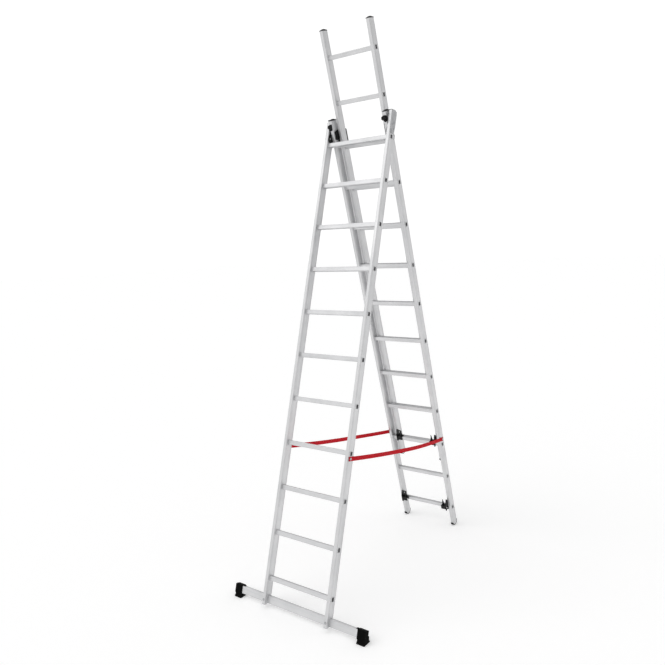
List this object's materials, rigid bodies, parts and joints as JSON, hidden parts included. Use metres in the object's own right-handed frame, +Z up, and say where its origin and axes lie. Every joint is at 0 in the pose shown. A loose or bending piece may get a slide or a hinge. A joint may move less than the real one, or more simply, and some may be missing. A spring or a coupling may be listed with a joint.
{
  "type": "extension ladder",
  "caption": "Aluminium combination ladder standing as an A-frame, with a stabiliser bar, hooked upper section raised above the hinge and red spreader straps.",
  "frame": {"origin": "on the floor, at the centre of the ladder's footprint box", "axes": "+X to the ladder's right seen from the stabiliser, +Y from the front leg to the rear leg, +Z up"},
  "size_m": [1, 1.7438, 3.5658],
  "materials": {
    "aluminium": "mill finish extrusion",
    "zinc_steel": "zinc plated",
    "black_steel": "black powder coat",
    "black_plastic": "moulded, fine grain",
    "rubber": "matt moulded rubber",
    "webbing": "woven polyester webbing"
  },
  "bodies": {
    "front_section": {"front_stile_left": "aluminium", "front_stile_right": "aluminium", "front_rungs": "aluminium", "front_cap_left": "black_plastic", "front_cap_right": "black_plastic", "stabiliser_beam": "aluminium", "stabiliser_foot_left": "rubber", "stabiliser_foot_right": "rubber", "stabiliser_bolts": "zinc_steel", "hinge_plate_left": "zinc_steel", "hinge_plate_right": "zinc_steel", "hinge_arm_left": "black_steel", "hinge_arm_right": "black_steel", "hinge_rivets": "zinc_steel", "hinge_bolts": "zinc_steel", "strap_bolts": "zinc_steel"},
    "rear_section": {"rear_stile_left": "aluminium", "rear_stile_right": "aluminium", "rear_rungs": "aluminium", "rear_cap_left": "black_plastic", "rear_cap_right": "black_plastic", "rear_foot_left": "rubber", "rear_foot_right": "rubber", "hinge_bushes": "black_plastic", "guide_bracket_left": "black_steel", "guide_bracket_right": "black_steel", "guide_pad_left": "black_plastic", "guide_pad_right": "black_plastic", "knob_plate_left": "black_plastic", "knob_plate_right": "black_plastic", "rear_hook_left": "black_steel", "rear_hook_right": "black_steel", "rear_hook_rivets": "zinc_steel"},
    "upper_section": {"upper_stile_left": "aluminium", "upper_stile_right": "aluminium", "upper_rungs": "aluminium", "upper_cap_left": "black_plastic", "upper_cap_right": "black_plastic", "upper_foot_left": "black_plastic", "upper_foot_right": "black_plastic", "upper_hook_left": "black_steel", "upper_hook_right": "black_steel", "upper_hook_rivets": "zinc_steel"},
    "left_knob": {"guide_knob_left": "black_plastic"},
    "rear_left_latch": {"rear_latch_left": "black_steel"},
    "upper_left_latch": {"upper_latch_left": "black_steel"},
    "left_strap_front": {"strap_front_left": "webbing"},
    "left_strap_rear": {"strap_rear_left": "webbing", "strap_rivet_left": "zinc_steel"},
    "right_knob": {"guide_knob_right": "black_plastic"},
    "rear_right_latch": {"rear_latch_right": "black_steel"},
    "upper_right_latch": {"upper_latch_right": "black_steel"},
    "right_strap_front": {"strap_front_right": "webbing"},
    "right_strap_rear": {"strap_rear_right": "webbing", "strap_rivet_right": "zinc_steel"}
  },
  "joints": [
    {"name": "leg_fold", "type": "hinge", "parent": "front_section", "child": "rear_section", "pos_m": [0, 0.06527, 2.86005], "axis": [-1, 0, 0], "range_deg": [0, 32]},
    {"name": "upper_slide", "type": "slide", "parent": "rear_section", "child": "upper_section", "axis": [0, -0.264, 0.9645], "range_m": [-0.56, 1.12]},
    {"name": "left_knob_turn", "type": "hinge", "parent": "rear_section", "child": "left_knob", "pos_m": [-0.208, 0.00351, 2.97585], "axis": [0, -0.9645, -0.264], "range_deg": [0, 360]},
    {"name": "rear_left_latch_swing", "type": "hinge", "parent": "rear_section", "child": "rear_left_latch", "pos_m": [-0.192, 0.78418, 0.15352], "axis": [1, 0, 0], "range_deg": [0, 95], "stiffness_Nm_per_rad": 0.02, "springref_deg": -28.65},
    {"name": "upper_left_latch_swing", "type": "hinge", "parent": "upper_section", "child": "upper_left_latch", "pos_m": [-0.16, 0.68163, 0.68739], "axis": [1, 0, 0], "range_deg": [0, 95], "stiffness_Nm_per_rad": 0.02, "springref_deg": -28.65},
    {"name": "left_strap_bolt_turn", "type": "hinge", "parent": "front_section", "child": "left_strap_front", "pos_m": [-0.2524, -0.57125, 0.95354], "axis": [-1, 0, 0], "range_deg": [0, 91]},
    {"name": "left_strap_bend", "type": "hinge", "parent": "left_strap_front", "child": "left_strap_rear", "pos_m": [-0.2516, 0.13193, 0.81343], "axis": [1, 0, 0], "range_deg": [0, 172]},
    {"name": "right_knob_turn", "type": "hinge", "parent": "rear_section", "child": "right_knob", "pos_m": [0.208, 0.00351, 2.97585], "axis": [0, -0.9645, -0.264], "range_deg": [0, 360]},
    {"name": "rear_right_latch_swing", "type": "hinge", "parent": "rear_section", "child": "rear_right_latch", "pos_m": [0.192, 0.78418, 0.15352], "axis": [1, 0, 0], "range_deg": [0, 95], "stiffness_Nm_per_rad": 0.02, "springref_deg": -28.65},
    {"name": "upper_right_latch_swing", "type": "hinge", "parent": "upper_section", "child": "upper_right_latch", "pos_m": [0.16, 0.68163, 0.68739], "axis": [1, 0, 0], "range_deg": [0, 95], "stiffness_Nm_per_rad": 0.02, "springref_deg": -28.65},
    {"name": "right_strap_bolt_turn", "type": "hinge", "parent": "front_section", "child": "right_strap_front", "pos_m": [0.2524, -0.57125, 0.95354], "axis": [-1, 0, 0], "range_deg": [0, 91]},
    {"name": "right_strap_bend", "type": "hinge", "parent": "right_strap_front", "child": "right_strap_rear", "pos_m": [0.2516, 0.13193, 0.81343], "axis": [1, 0, 0], "range_deg": [0, 172]}
  ],
  "couplings": [
    {"joint": "left_strap_bolt_turn", "follows": "leg_fold", "ratio": 2.8348},
    {"joint": "left_strap_bend", "follows": "leg_fold", "ratio": 5.3438},
    {"joint": "right_strap_bolt_turn", "follows": "leg_fold", "ratio": 2.8348},
    {"joint": "right_strap_bend", "follows": "leg_fold", "ratio": 5.3438}
  ]
}
